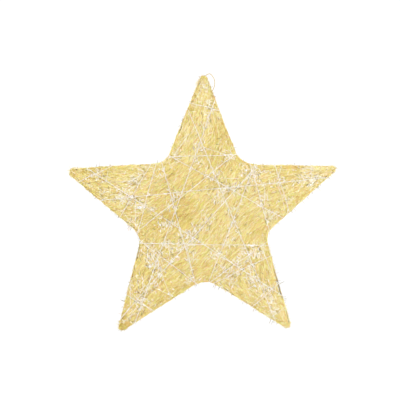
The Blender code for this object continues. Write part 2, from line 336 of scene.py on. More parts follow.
# Colours in linear light, from the darkest tone to the palest
FIBRE_TONES = (
    (0.0, (0.51, 0.35, 0.055)), (0.2, (0.76, 0.575, 0.125)), (0.5, (0.88, 0.73, 0.24)),
    (0.8, (0.94, 0.86, 0.48)), (1.0, (0.98, 0.94, 0.70)),
)
TINSEL_TONES = (
    (0.0, (0.20, 0.16, 0.07)), (0.25, (0.52, 0.43, 0.22)), (0.42, (0.94, 0.91, 0.82)),
    (1.0, (0.98, 0.96, 0.95)),
)
SILVER_TONES = (
    (0.34, (0.82, 0.77, 0.64)), (0.47, (0.93, 0.90, 0.83)), (0.60, (0.97, 0.95, 0.92)),
)
CORD_TONES = ((0.0, (0.42, 0.29, 0.08)), (1.0, (0.74, 0.57, 0.24)))
WIRE_TONES = ((0.3, (0.14, 0.12, 0.06)), (0.7, (0.42, 0.36, 0.20)))

# The grain of the finishes, over a strand's map or over a round piece
GRAIN_DETAIL = 3.0
STREAK_SCALES = (160.0, 9.0, 1.0)
SLUB_SCALES = (8.0, 16.0, 1.0)
HUE_SCALES = (30.0, 4.0, 1.0)
STREAK_CONTRAST = 0.5
SLUB_CONTRAST = 0.65
SLUB_ROUGHNESS = 0.3
STREAK_BUMP = 0.35
STREAK_HEIGHT = 0.00008
HUE_MIDDLE = 0.498
HUE_CHANGE = 0.35
CORD_GRAIN = 0.0006
WIRE_GRAIN = 0.004
GRAIN_SHARE = 0.3
GRAIN_ROUGHNESS = 0.35
GRAIN_BUMP = 0.4

# The room
FLOOR_REACH = 12.0
FLOOR_DROP = 0.25
FLOOR_COLOUR = (0.96, 0.96, 0.96, 1.0)
WORLD_COLOUR = (1.0, 1.0, 1.0, 1.0)
WORLD_STRENGTH = 1.08


def polar(bearing, reach):
    """A place in the plane of the star, from its centre."""
    angle = math.radians(bearing)
    return np.array((reach * math.sin(angle), reach * math.cos(angle)))


def unit(vectors):
    """Vectors of length one, row by row."""
    return vectors / np.maximum(np.linalg.norm(vectors, axis=-1, keepdims=True), 1e-12)


def way_at(angles):
    """Ways of length one in the plane of the star, at their angles."""
    return np.stack((np.cos(angles), np.sin(angles)), -1)


def angle_of(ways):
    """The angles of ways in the plane of the star."""
    return np.arctan2(ways[..., 1], ways[..., 0])


def outward_of(ways):
    """The way out of the star, beside ways along its outline."""
    return np.stack((-ways[..., 1], ways[..., 0]), -1)


def sharp_outline():
    """The tips and inner corners in turn, where the straight edges meet."""
    places = []
    step = 360 / ARMS
    for arm in range(ARMS):
        tip_bearing = arm * step + TIP_LEANS[arm]
        corner_bearing = (arm + 0.5) * step + CORNER_LEANS[arm]
        places.append(polar(tip_bearing, TIP_RADIUS * TIP_STRETCHES[arm]))
        places.append(polar(corner_bearing, CORNER_RADIUS * CORNER_STRETCHES[arm]))
    return places


def star_outline(inset=0.0):
    """The rounded outline, moved inwards by inset, as a closed row of places."""
    sharp = sharp_outline()
    outline = []
    for index, place in enumerate(sharp):
        is_tip = index % 2 == 0
        rounding = TIP_ROUNDING if is_tip else CORNER_ROUNDING
        bluntness = TIP_BLUNTNESS if is_tip else CORNER_BLUNTNESS
        radius = rounding * bluntness[index // 2]
        before = unit(sharp[index - 1] - place)
        after = unit(sharp[(index + 1) % len(sharp)] - place)
        middle = unit(before + after)
        half_angle = math.acos(before @ after) / 2
        centre = place + middle * radius / math.sin(half_angle)
        reach = radius - inset if is_tip else radius + inset
        turn = -1 if is_tip else 1
        for step in range(ARC_STEPS + 1):
            angle = turn * (math.pi / 2 - half_angle) * (2 * step / ARC_STEPS - 1)
            cos, sin = math.cos(angle), math.sin(angle)
            turned = np.array((middle[1] * sin - middle[0] * cos, -middle[0] * sin - middle[1] * cos))
            outline.append(centre + turned * reach)
    return np.array(outline)


OUTLINE = star_outline()
NEXT_CORNERS = np.roll(OUTLINE, -1, axis=0)
EDGE_WAYS = unit(NEXT_CORNERS - OUTLINE)
EDGE_LENGTHS = np.linalg.norm(NEXT_CORNERS - OUTLINE, axis=1)
TOP_BEND = star_outline(WIRE_INSET)[ARC_STEPS // 2]


def beside_edges(places):
    """For each place: how far inside the outline it is, the way along the nearest edge, and the
    way from the place out to that edge."""
    flat = places.reshape(-1, 2)
    offsets = flat[:, None] - OUTLINE[None]
    along = np.clip((offsets * EDGE_WAYS).sum(-1), 0, EDGE_LENGTHS)
    gaps = offsets - along[..., None] * EDGE_WAYS
    nearest = (gaps ** 2).sum(-1).argmin(1)
    gap = gaps[np.arange(len(flat)), nearest]
    ways = EDGE_WAYS[nearest]
    side = np.where((gap * outward_of(ways)).sum(-1) > 0, -1.0, 1.0)
    distance = np.linalg.norm(gap, axis=1)
    towards = np.where((distance > 1e-7)[:, None], -unit(gap) * side[:, None], outward_of(ways))
    distance = distance * side
    return distance.reshape(places.shape[:-1]), ways.reshape(places.shape), towards.reshape(places.shape)


def on_outline(count):
    """Random places on the outline, with the way along it there."""
    length_so_far = np.cumsum(EDGE_LENGTHS)
    picks = DRAW.uniform(0, length_so_far[-1], count)
    edges = np.searchsorted(length_so_far, picks)
    back = (length_so_far[edges] - picks)[:, None]
    return NEXT_CORNERS[edges] - EDGE_WAYS[edges] * back, EDGE_WAYS[edges]


def swell(distance):
    """The mat's rise to its full thickness, by the distance inside its edge."""
    return 1 - np.exp(-np.maximum(distance, 0) / SWELL_DISTANCE)


MIDDLE_SWELL = swell(beside_edges(np.zeros((1, 2)))[0])[0]


def mat_height(distance):
    """Half the thickness of the mat, by the distance inside its edge: round at the rim."""
    rim = RIM_THICKNESS / 2
    over_rim = np.sqrt(1 - (1 - np.clip(distance / rim, 0, 1)) ** 2) * rim
    return over_rim + (MIDDLE_THICKNESS / 2 - rim) * swell(distance) / MIDDLE_SWELL


def face_height(places, least_distance=0.0):
    """The height of a face over places, which count as least_distance inside the edge or more."""
    return mat_height(np.maximum(beside_edges(places)[0], least_distance))


def in_space(places, depths):
    """Places in the plane of the star, with a depth along Y, as points in the row's frame."""
    return np.stack((places[..., 0] - TOP_BEND[0], depths, places[..., 1] - TOP_BEND[1]), -1)


def from_pixels(pixels):
    """Places in the plane of the star under pixels of the photograph."""
    pixels = np.asarray(pixels, float)
    x = (pixels[..., 0] - CENTRE_PIXEL[0]) * PIXEL_SIZE
    z = (CENTRE_PIXEL[1] - pixels[..., 1]) * PIXEL_SIZE
    return np.stack((x, z), -1)


def scattered(count, margin):
    """Random places inside the star, at least margin from its edge."""
    low, high = OUTLINE.min(0), OUTLINE.max(0)
    kept = np.zeros((0, 2))
    while len(kept) < count:
        tries = DRAW.uniform(low, high, (count * 3, 2))
        kept = np.concatenate((kept, tries[beside_edges(tries)[0] > margin]))
    return kept[:count]


# The lay of the fibre: broad waves turn its direction a little from place to place
LAY_WAVES = 5
LAY_WAVE_TURN = 0.13
LAY_TIGHTNESS = 50.0
LAY_WAVE_TURNS = DRAW.normal(0, LAY_WAVE_TURN, LAY_WAVES)
LAY_WAVE_WAYS = DRAW.normal(0, LAY_TIGHTNESS, (LAY_WAVES, 2))
LAY_WAVE_STARTS = DRAW.uniform(0, math.tau, LAY_WAVES)
MIDDLE_LAY = math.radians(42)
ARM_START = 0.6 * CORNER_RADIUS
EDGE_ZONE = 0.014
EDGE_PULL = 1.9
ARM_PULL = 0.5
PULL_LOST = 0.7

# The rim is uneven: its wraps stand out in bumps along it
RIM_WAVES = 4
RIM_TIGHTNESS = 330.0
RIM_WAVE_WAYS = DRAW.normal(0, RIM_TIGHTNESS, (RIM_WAVES, 2))
RIM_BUMP = 0.0009
RIM_HOLLOW = -0.4


def doubled(angle, weight):
    """A direction that has no sign, as a vector that can be added to others."""
    return way_at(2 * angle) * np.asarray(weight)[..., None]


def lay_angle(places):
    """The direction of the fibres: along the edges and arms, and slanting across the middle."""
    distance, ways, _ = beside_edges(places)
    waves = np.sin(places @ LAY_WAVE_WAYS.T + LAY_WAVE_STARTS) @ LAY_WAVE_TURNS
    reach = np.linalg.norm(places, axis=-1)
    in_arm = np.clip((reach - ARM_START) / CORNER_RADIUS, 0, 1)
    total = doubled(MIDDLE_LAY + waves, 1 - PULL_LOST * in_arm)
    total = total + doubled(angle_of(places) + waves, ARM_PULL * in_arm)
    total = total + doubled(angle_of(ways), EDGE_PULL * np.exp(-np.maximum(distance, 0) / EDGE_ZONE))
    return angle_of(total) / 2


def held_inside(places, margin):
    """The same places, with those too near the edge or past it moved in to the margin."""
    distance, _, towards = beside_edges(places)
    return places - towards * np.maximum(margin - distance, 0)[..., None]


def laid_paths(starts, leans, lengths, steps, margin=STRAND_MARGIN, along_edge=False):
    """Paths that follow the lay of the fibre, or the outline, from their starts."""
    place, way, paths = starts, None, [starts]
    for _ in range(steps):
        next_way = way_at((angle_of(beside_edges(place)[1]) if along_edge else lay_angle(place)) + leans)
        if way is None:
            next_way *= np.where(DRAW.random(len(starts)) < 0.5, -1, 1)[:, None]
        else:
            next_way *= np.where((next_way * way).sum(-1) < 0, -1, 1)[:, None]
            next_way = unit(next_way + way)
        way = next_way
        place = held_inside(place + way * (lengths / steps)[:, None], margin)
        paths.append(place)
    return np.stack(paths, 1)


def bent_paths(middles, angles, lengths, bends, steps=3):
    """Paths of even curvature through their middles."""
    shares = (np.arange(steps) + 0.5) / steps - 0.5
    turned = angles[:, None] + bends[:, None] * shares
    strides = way_at(turned) * (lengths / steps)[:, None, None]
    ends = np.cumsum(strides, 1)
    paths = np.concatenate((np.zeros_like(ends[:, :1]), ends), 1)
    return paths - paths.mean(1, keepdims=True) + middles[:, None]


def bent_between(starts, ends, bends, steps=3):
    """Paths of even curvature, about from their starts to their ends."""
    gaps = ends - starts
    lengths = np.linalg.norm(gaps, axis=1)
    return bent_paths((starts + ends) / 2, angle_of(gaps), lengths, bends, steps)


def crinkled_paths(middles, leans, swings, pitches):
    """Paths that swing to and fro along their lean while they move on across it."""
    turns = np.linspace(-0.5, 0.5, CRINKLES * CRINKLE_STEPS + 1)[:, None] * CRINKLES
    ways = way_at(leans)[:, None]
    to_and_fro = np.sin(turns * math.pi) * swings[:, None, None] / 2
    return middles[:, None] + ways * to_and_fro + outward_of(ways) * turns * pitches[:, None, None]


def passes(paths, spot, radius):
    """Which paths pass within a radius of a spot."""
    start, along = paths[:, :-1], paths[:, 1:] - paths[:, :-1]
    share = ((spot - start) * along).sum(-1) / np.maximum((along ** 2).sum(-1), 1e-12)
    foot = start + along * np.clip(share, 0, 1)[..., None]
    return (np.linalg.norm(spot - foot, axis=-1) < radius).any(1)


def kept_clear(paths):
    """Which paths cut no notch, and stay clear of the pinholes and the bare stretches of wire."""
    between = (paths[:, :-1] + paths[:, 1:]) / 2
    keep = (beside_edges(between)[0] > -NOTCH_SLACK).all(1)
    for pixel, radius in PINHOLES:
        keep &= ~passes(paths, from_pixels(pixel), radius)
    for ends, bareness in BARE_STRETCHES:
        start, end = from_pixels(ends)
        count = max(2, round(np.linalg.norm(end - start) / SPOT_SPACING))
        spots = np.linspace(start, end, count)
        distance, _, towards = beside_edges(spots)
        covered = DRAW.random(len(paths)) > bareness
        for spot in spots + towards * (distance - WIRE_INSET)[:, None]:
            keep &= covered | ~passes(paths, spot, BARE_WIDTH)
    return keep


def tone_and_shade_at(places):
    """How much darker or paler the fibre is at each place: partly its own tone, partly painted shade and
    painted light.
    """
    change = np.zeros(len(places))
    for (x, y, radius), amount in TONE_AND_SHADE_PLACES:
        away = np.linalg.norm(places - from_pixels((x, y)), axis=1) / (radius * PIXEL_SIZE)
        change += amount * np.exp(-away ** 2)
    return change


def add_object(name, data):
    """A new object in the scene."""
    made = bpy.data.objects.new(name, data)
    bpy.context.scene.collection.objects.link(made)
    return made


def add_piece(name, data, finish, replaced=()):
    """A piece of the ornament, riding on its one body."""
    data.materials.append(finish.material)
    piece = add_object(name, data)
    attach(piece, "root")
    if replaced:
        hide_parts(*replaced)
    return piece


def add_strands(name, points, facing, widths, flatness, tones, finish,
                replaced=(), sides=3, taper=STRAND_TAPER, smooth=False, map_starts=None):
    """A piece of closed strands, one along each row of points. On its map a strand's tone runs
    across, and the way along the strand runs upwards."""
    count, rings = points.shape[:2]
    facing = facing + DRAW.normal(0, STRAND_ROLL, (count, 1, 3))
    ways = unit(np.gradient(points, axis=1))
    across = unit(np.cross(ways, facing))
    raised = np.cross(across, ways)
    shares = np.linspace(0, 1, rings)
    thinning = taper + (1 - taper) * np.minimum(1, 4 * np.minimum(shares, 1 - shares))
    angles = math.tau * (np.arange(sides) + 0.5) / sides + math.pi / 2
    half_width = widths[:, None, None, None] / 2
    section = (across[:, :, None] * np.cos(angles)[:, None] * half_width
               + raised[:, :, None] * np.sin(angles)[:, None] * half_width * flatness)
    vertices = (points[:, :, None] + section * thinning[:, None, None]).reshape(-1, 3)

    grids = np.meshgrid(np.arange(rings - 1), np.arange(sides), indexing="ij")
    ring, side = (grid.ravel() for grid in grids)
    after = (side + 1) % sides
    low, high = ring * sides, (ring + 1) * sides
    quads = np.stack((low + side, low + after, high + after, high + side), -1)
    last_ring = (rings - 1) * sides
    caps = np.concatenate((np.arange(sides)[::-1], last_ring + np.arange(sides)))
    corners = np.concatenate((quads.ravel(), caps))
    sizes = np.concatenate((np.full(len(quads), 4), (sides, sides)))

    # The caps fold back along the strand a little, so that they have width on the map too
    u = np.concatenate((np.stack((side, side + 1, side + 1, side), -1).ravel(), caps % sides)) / sides
    v = np.stack((ring, ring, ring + 1, ring + 1), -1).ravel() / (rings - 1)
    cap_v = np.where(caps % sides == 1, CAP_FOLD, 0.0)
    cap_v = np.where(caps < last_ring, cap_v, 1 - cap_v)
    v = np.concatenate((v, cap_v))

    all_corners = (corners + np.arange(count)[:, None] * rings * sides).ravel()
    all_sizes = np.tile(sizes, count)
    starts = np.concatenate(([0], np.cumsum(all_sizes)[:-1]))
    if map_starts is None:
        map_starts = DRAW.uniform(0, 1 - MAP_LENGTH, count)
    all_u = np.clip(tones, 0, 1 - MAP_WIDTH)[:, None] + u * MAP_WIDTH
    all_v = map_starts[:, None] + v * MAP_LENGTH
    places_on_map = np.stack((all_u.ravel(), all_v.ravel()), -1).astype(np.float32)

    mesh = bpy.data.meshes.new(name)
    mesh.vertices.add(len(vertices))
    mesh.vertices.foreach_set("co", vertices.astype(np.float32).ravel())
    mesh.loops.add(len(all_corners))
    mesh.loops.foreach_set("vertex_index", all_corners.astype(np.int32))
    mesh.polygons.add(len(all_sizes))
    mesh.polygons.foreach_set("loop_start", starts.astype(np.int32))
    mesh.polygons.foreach_set("loop_total", all_sizes.astype(np.int32))
    mesh.polygons.foreach_set("use_smooth", np.full(len(all_sizes), smooth))
    layer = mesh.uv_layers.new(name="OFBake")
    layer.uv.foreach_set("vector", places_on_map.ravel())
    mesh.update(calc_edges=True)
    mesh.validate()
    add_piece(name, mesh, finish, replaced)


def add_fibres(name, paths, depths, widths, flatness, tones, finish, shade=0.0, facing=BACKWARD,
               replaced=()):
    """A piece of fibres along the paths that are kept clear, with its ranges of width and tone."""
    keep = kept_clear(paths)
    widths = DRAW.uniform(*widths, len(paths))[keep]
    tones = (DRAW.normal(*tones, len(paths)) + shade)[keep]
    add_strands(name, in_space(paths, depths)[keep], facing, widths, flatness, tones, finish,
                replaced=replaced)


class Output:
    """An output of a shader node; Python's operators on it add Math nodes."""

    def __init__(self, finish, socket):
        self.finish, self.socket = finish, socket

    def math(self, operation, *values):
        return self.finish.node("ShaderNodeMath", {"operation": operation}, values)

    def __add__(self, other):
        return self.math("ADD", self, other)

    def __sub__(self, other):
        return self.math("SUBTRACT", self, other)

    def __rsub__(self, other):
        return self.math("SUBTRACT", other, self)

    def __mul__(self, other):
        return self.math("MULTIPLY", self, other)

    __radd__, __rmul__ = __add__, __mul__


class Finish:
    """A material with one Principled shader, and a way to add nodes to it."""

    def __init__(self, name, metallic=0.0):
        self.material = bpy.data.materials.new(name)
        self.material.use_nodes = True
        self.tree = self.material.node_tree
        self.shader = self.tree.nodes["Principled BSDF"]
        self.shader.inputs["Metallic"].default_value = metallic

    def node(self, kind, settings=None, values=(), output=0):
        """A node with its settings, then the values or links of its sockets."""
        made = self.tree.nodes.new(kind)
        for name, value in (settings or {}).items():
            if name == "stops":
                self.set_stops(made.color_ramp, value)
            else:
                setattr(made, name, value)
        for key, value in values.items() if isinstance(values, dict) else enumerate(values):
            self.feed(made.inputs[key], value)
        return Output(self, made.outputs[output])

    def set_stops(self, ramp, stops):
        """Gives a colour ramp its stops, each a place and a colour."""
        for index, (place, colour) in enumerate(stops):
            stop = ramp.elements[index] if index < 2 else ramp.elements.new(place)
            stop.position = place
            stop.color = (*colour, 1.0)

    def feed(self, socket, value):
        """Links an output to a socket, or sets the socket to a plain value."""
        if isinstance(value, Output):
            self.tree.links.new(value.socket, socket)
        else:
            socket.default_value = value

    def surface(self, **values):
        """Feeds the shader's sockets; an underscore stands for the space in a socket's name."""
        for name, value in values.items():
            self.feed(self.shader.inputs[name.replace("_", " ")], value)

    def grain(self, place, scales):
        """Noise over a place, with a scale for each of its three ways."""
        scaled = self.node("ShaderNodeMapping", values={"Vector": place, "Scale": scales})
        values = {"Vector": scaled, "Scale": 1.0, "Detail": GRAIN_DETAIL}
        return self.node("ShaderNodeTexNoise", values=values)

    def bump(self, height, strength, distance):
        values = {"Height": height, "Strength": strength, "Distance": distance}
        return self.node("ShaderNodeBump", values=values)


def strand_finish(name, tones, roughness, metallic=0.0):
    """A finish for strands, each with the tone of its place across the map, its own streaks and
    slubs, and a hue that differs a little."""
    finish = Finish(name, metallic)
    place = finish.node("ShaderNodeUVMap", {"uv_map": "OFBake"})
    across = finish.node("ShaderNodeSeparateXYZ", values=[place])
    streaks = finish.grain(place, STREAK_SCALES)
    slubs = finish.grain(place, SLUB_SCALES)
    tone = across + (streaks - 0.5) * STREAK_CONTRAST + (slubs - 0.5) * SLUB_CONTRAST
    colour = finish.node("ShaderNodeValToRGB", {"stops": tones}, [tone])
    hue = HUE_MIDDLE + (finish.grain(place, HUE_SCALES) - 0.5) * HUE_CHANGE
    finish.surface(
        Base_Color=finish.node("ShaderNodeHueSaturation", values={"Hue": hue, "Color": colour}),
        Roughness=roughness + (slubs - 0.5) * SLUB_ROUGHNESS,
        Normal=finish.bump(streaks, STREAK_BUMP, STREAK_HEIGHT),
    )
    return finish


def solid_finish(name, tones, grain_size, roughness, metallic):
    """A finish over a round piece, mottled at one size and finely grained."""
    finish = Finish(name, metallic)
    place = finish.node("ShaderNodeTexCoord", output=3)
    mottle = finish.grain(place, (1 / grain_size,) * 3)
    fine = finish.grain(place, (8 / grain_size,) * 3)
    tone = mottle * (1 - GRAIN_SHARE) + fine * GRAIN_SHARE
    finish.surface(
        Base_Color=finish.node("ShaderNodeValToRGB", {"stops": tones}, [tone]),
        Roughness=roughness + (fine - 0.5) * GRAIN_ROUGHNESS,
        Normal=finish.bump(fine, GRAIN_BUMP, grain_size / 30),
    )
    return finish


def sunk_depths(paths, sinks, side):
    """Depths along Y of paths on one face, sunk into it, less where the mat is thin."""
    height = face_height(paths)
    share_sunk = np.clip(height / FULL_SINK_HEIGHT, LEAST_SINK_SHARE, 1)
    return side * np.maximum(height - sinks[:, None] * share_sunk, LEAST_DEPTH)


def face_fibres(names, side, tufts, finish):
    """Tufts of fine fibre over one face of the star, the lower tufts in the first piece."""
    for layer, name in enumerate(names):
        places = scattered(tufts, FACE_MARGIN)
        turns = DRAW.normal(0, TUFT_TURN, tufts)
        each = np.repeat(np.arange(tufts), STRANDS_IN_TUFT)
        count = len(each)
        along = way_at(lay_angle(places) + turns)[each]
        starts = (places[each] + outward_of(along) * DRAW.normal(0, SPREAD_ACROSS, (count, 1))
                  + along * DRAW.normal(0, SPREAD_ALONG, (count, 1)))
        lengths = DRAW.uniform(*TUFT_LENGTHS, tufts)[each]
        lengths = lengths * DRAW.uniform(*LENGTH_SHARES, count)
        leans = turns[each] + DRAW.normal(0, STRAND_TURN, count)
        paths = laid_paths(starts, leans, lengths, STRAND_STEPS)
        depth_shares = (1 - (layer + DRAW.random(tufts)) / len(names))[each]
        sinks = DEEPEST_SINK * depth_shares + DRAW.normal(0, SINK_SPREAD, count)
        tones = DRAW.normal(*TUFT_TONES, tufts)[each] + DRAW.normal(0, TONE_SPREAD, count)
        # Lower strands are painted darker, as painted shade under the strands above them
        tones = tones + tone_and_shade_at(starts) - DEEPEST_PAINTED_SHADE * depth_shares
        keep = kept_clear(paths)
        points = in_space(paths, sunk_depths(paths, sinks, side))[keep]
        widths = DRAW.uniform(*STRAND_WIDTHS, count)[keep]
        map_starts = DRAW.uniform(0, 1 - MAP_LENGTH, tufts)[each][keep]
        add_strands(name, points, side * BACKWARD, widths, STRAND_FLATNESS, tones[keep], finish,
                    map_starts=map_starts)


def heart_fibres(finish):
    """The coarse strands between the faces, which carry the mat and stop most of the light."""
    starts = scattered(HEART_STRANDS, HEART_INSET)
    leans = DRAW.normal(0, HEART_TURN, HEART_STRANDS)
    lengths = DRAW.uniform(*HEART_LENGTHS, HEART_STRANDS)
    paths = laid_paths(starts, leans, lengths, STRAND_STEPS, margin=HEART_MARGIN)
    depth_shares = DRAW.uniform(-HEART_DEPTH_SHARE, HEART_DEPTH_SHARE, HEART_STRANDS)
    depths = face_height(paths) * depth_shares[:, None]
    # Their darker tones paint shade into the gaps between the face fibres
    add_fibres("heart_fibres", paths, depths, HEART_WIDTHS, HEART_FLATNESS, HEART_TONES, finish,
               replaced=["sisal_mat"])


def rim_fibres(finish):
    """Long fibres drawn along the rim, over the wire."""
    starts, ways = on_outline(RIM_STRANDS)
    insets = np.abs(DRAW.normal(0, RIM_BAND, RIM_STRANDS)) + LEAST_RIM_INSET
    starts = starts - outward_of(ways) * insets[:, None]
    lengths = DRAW.uniform(*RIM_LENGTHS, RIM_STRANDS)
    leans = DRAW.normal(0, RIM_SLANT, RIM_STRANDS)
    paths = laid_paths(starts, leans, lengths, RIM_STEPS, margin=RIM_MARGIN, along_edge=True)
    side = np.where(DRAW.random(RIM_STRANDS) < 0.5, -1.0, 1.0)[:, None]
    depths = sunk_depths(paths, DRAW.uniform(*RIM_SINKS, RIM_STRANDS), side)
    add_fibres("rim_fibres", paths, depths, RIM_WIDTHS, STRAND_FLATNESS, RIM_TONES, finish,
               # The shade argument carries the fibre's own tone and painted shade and light
               shade=tone_and_shade_at(starts))


def rim_wraps(finish):
    """Short fibres wound over the rim from one face to the other, some of them slack."""
    at_rim, ways = on_outline(RIM_WRAPS)
    turns = np.linspace(-1, 1, WRAP_STEPS + 1)
    reach = DRAW.uniform(*WRAP_REACHES, RIM_WRAPS)[:, None]
    bumps = np.clip(np.sin(at_rim @ RIM_WAVE_WAYS.T).sum(-1) / 2, RIM_HOLLOW, 1)
    slack = np.abs(DRAW.normal(0, WRAP_SLACK, RIM_WRAPS)) + RIM_BUMP * bumps - WRAP_TIGHTNESS
    slack = slack[:, None] * (1 - turns ** 2)
    insets = np.abs(turns) ** WRAP_ROUNDING * reach - slack
    advance = turns * DRAW.normal(0, WRAP_SLANT, RIM_WRAPS)[:, None]
    paths = at_rim[:, None] - outward_of(ways)[:, None] * insets[..., None]
    paths = held_inside(paths + ways[:, None] * advance[..., None], -WRAP_LIMIT)
    depths = np.sign(turns) * (face_height(paths) + WRAP_LIFT)
    add_fibres("rim_wraps", paths, depths, RIM_WIDTHS, WRAP_FLATNESS, WRAP_TONES, finish,
               shade=tone_and_shade_at(at_rim), facing=unit(np.array(WRAP_FACING)))


def crossed(first, second):
    """The cross product of ways in the plane of the star, as a number for each pair."""
    return first[..., 0] * second[..., 1] - first[..., 1] * second[..., 0]


def station(bearing):
    """Where a ray from the centre leaves the star, and the way out of the rim there."""
    ray = polar(bearing, 1.0)
    along = NEXT_CORNERS - OUTLINE
    share = crossed(OUTLINE, ray) / crossed(ray, along)
    reach = crossed(OUTLINE, along) / crossed(ray, along)
    met = int(np.argmax((share >= 0) & (share <= 1) & (reach > 0)))
    return OUTLINE[met] + along[met] * share[met], outward_of(EDGE_WAYS[met])


def thread_lines():
    """The silver thread's straight lines in turn: over the front, then behind to the next run."""
    stations = [station(bearing) for run in FRONT_RUNS for bearing in run]
    return list(zip(stations, stations[1:] + stations[:1]))


def over_mat(start, end, lift, sway_start):
    """A thread's way from one place to another close over a face, swaying a little."""
    count = max(3, round(np.linalg.norm(end - start) / THREAD_STEP))
    shares = np.linspace(0, 1, count + 1)[:, None]
    sway = np.sin(shares * math.tau * THREAD_SWAYS + sway_start) * THREAD_SWAY
    places = start + (end - start) * shares + outward_of(unit(end - start)) * sway
    return places, face_height(places, RUN_INSET) + lift


def evenly(points, count):
    """The same line, with its points evenly spaced."""
    walked = np.concatenate(([0], np.cumsum(np.linalg.norm(np.diff(points, axis=0), axis=1))))
    marks = np.linspace(0, walked[-1], count)
    return np.stack([np.interp(marks, walked, values) for values in points.T], -1)


def silver_winding(finish):
    """The metallic thread, a narrow tape that twists as it goes round and round the star. Each lap
    is one run over a face and the turn round the rim after it."""
    lines = thread_lines()
    runs = [over_mat(start, end, THREAD_LAYER * (1 + index // 2 % THREAD_LAYERS), index)
            for index, ((start, _), (end, _)) in enumerate(lines)]
    laps = []
    for index, (_, (end, outward)) in enumerate(lines):
        side = -1 if index % 2 == 0 else 1
        places, heights = runs[index]
        next_height = runs[(index + 1) % len(runs)][1][0]
        turn = np.linspace(0, math.pi, RIM_TURN_RINGS)[1:]
        share = turn / math.pi
        round_rim = end + outward * np.sin(turn)[:, None] * RIM_TURN_REACH
        depths = np.cos(turn) * (heights[-1] * (1 - share) + next_height * share)
        lap = np.concatenate((in_space(places, side * heights), in_space(round_rim, side * depths)))
        laps.append(evenly(lap, LAP_RINGS))
    laps = np.array(laps)
    ways = unit(np.gradient(laps, axis=1))
    twist = (np.arange(LAP_RINGS) * TAPE_TWIST)[:, None]
    flat = unit(np.cross(ways, BACKWARD))
    facing = np.cross(flat, ways) * np.cos(twist) + flat * np.sin(twist) * TAPE_TILT
    widths, tones = np.full(len(laps), TAPE_WIDTH), np.full(len(laps), TAPE_TONE)
    add_strands("silver_winding", laps, facing, widths, TAPE_THICKNESS / TAPE_WIDTH, tones, finish,
                ["silver_thread"], sides=TAPE_SIDES, taper=1.0, smooth=True)


def fine_threads(finish):
    """Short stretches of finer silver thread, on the front where the photograph has them."""
    ends = from_pixels(FINE_RUNS)
    count = len(ends)
    bends = DRAW.normal(0, FINE_BEND, count)
    paths = bent_between(ends[:, 0], ends[:, 1], bends, FINE_STEPS)
    heights = face_height(paths, FACE_INSET) + FINE_LIFT
    tones = DRAW.uniform(*FINE_TONES, count)
    add_strands("fine_threads", in_space(paths, -heights), -BACKWARD, np.full(count, FINE_WIDTH),
                FINE_FLATNESS, tones, finish, sides=4)


def tinsel_patches(side):
    """The centres, radii, numbers of strands and leans of the patches of tinsel on one face."""
    if side < 0:
        x, y, radii, strands, leans = np.array(TINSEL_PATCHES, float).T
        centres = from_pixels(np.stack((x, y), -1))
        return centres, radii * PIXEL_SIZE, strands, np.radians(leans)
    radii = DRAW.uniform(*BACK_PATCH_RADII, BACK_PATCHES)
    strands = DRAW.uniform(*BACK_PATCH_STRANDS, BACK_PATCHES)
    centres = scattered(BACK_PATCHES, BACK_PATCH_MARGIN)
    return centres, radii, strands, DRAW.uniform(0, math.pi, BACK_PATCHES)


def on_face(name, paths, side, lifts, widths, dark_share, finish):
    """Tinsel lying on a face, a few strands of it dark."""
    inside = (beside_edges(paths)[0] > -TINSEL_OVERHANG).all(1)
    paths, lifts, widths = paths[inside], lifts[inside], widths[inside]
    count = len(paths)
    # A share of the strands take the darkest tones of the tinsel's ramp
    dull = DRAW.random(count) < dark_share
    tones = np.where(dull, DRAW.uniform(*DARK_TINSEL_TONES, count), DRAW.uniform(*BRIGHT_TONES, count))
    heights = face_height(paths, FACE_INSET) + lifts[:, None]
    add_strands(name, in_space(paths, side * heights), side * BACKWARD, widths, TINSEL_FLATNESS,
                tones, finish)


def crinkled_tinsel(name, side, finish):
    """Crinkled metal strands caught in the mat, the swings of each patch mostly one way."""
    centres, radii, strands, leans = tinsel_patches(side)
    each = np.repeat(np.arange(len(centres)), np.ceil(strands * CRINKLED_SHARE).astype(int))
    count = len(each)
    middles = centres[each] + DRAW.normal(0, CRINKLE_SPREAD, (count, 2)) * radii[each, None]
    leans = leans[each] + DRAW.normal(0, CRINKLE_TURN, count)
    swings = DRAW.uniform(*CRINKLE_SWINGS, count)
    pitches = DRAW.uniform(*CRINKLE_PITCHES, count)
    paths = crinkled_paths(middles, leans, swings, pitches)
    paths = paths + DRAW.normal(0, CRINKLE_WAVER, paths.shape)
    lifts = DRAW.uniform(*CRINKLE_LIFTS, count)
    widths = DRAW.uniform(*CRINKLED_WIDTHS, count)
    on_face(name, paths, side, lifts, widths, 0.0, finish)


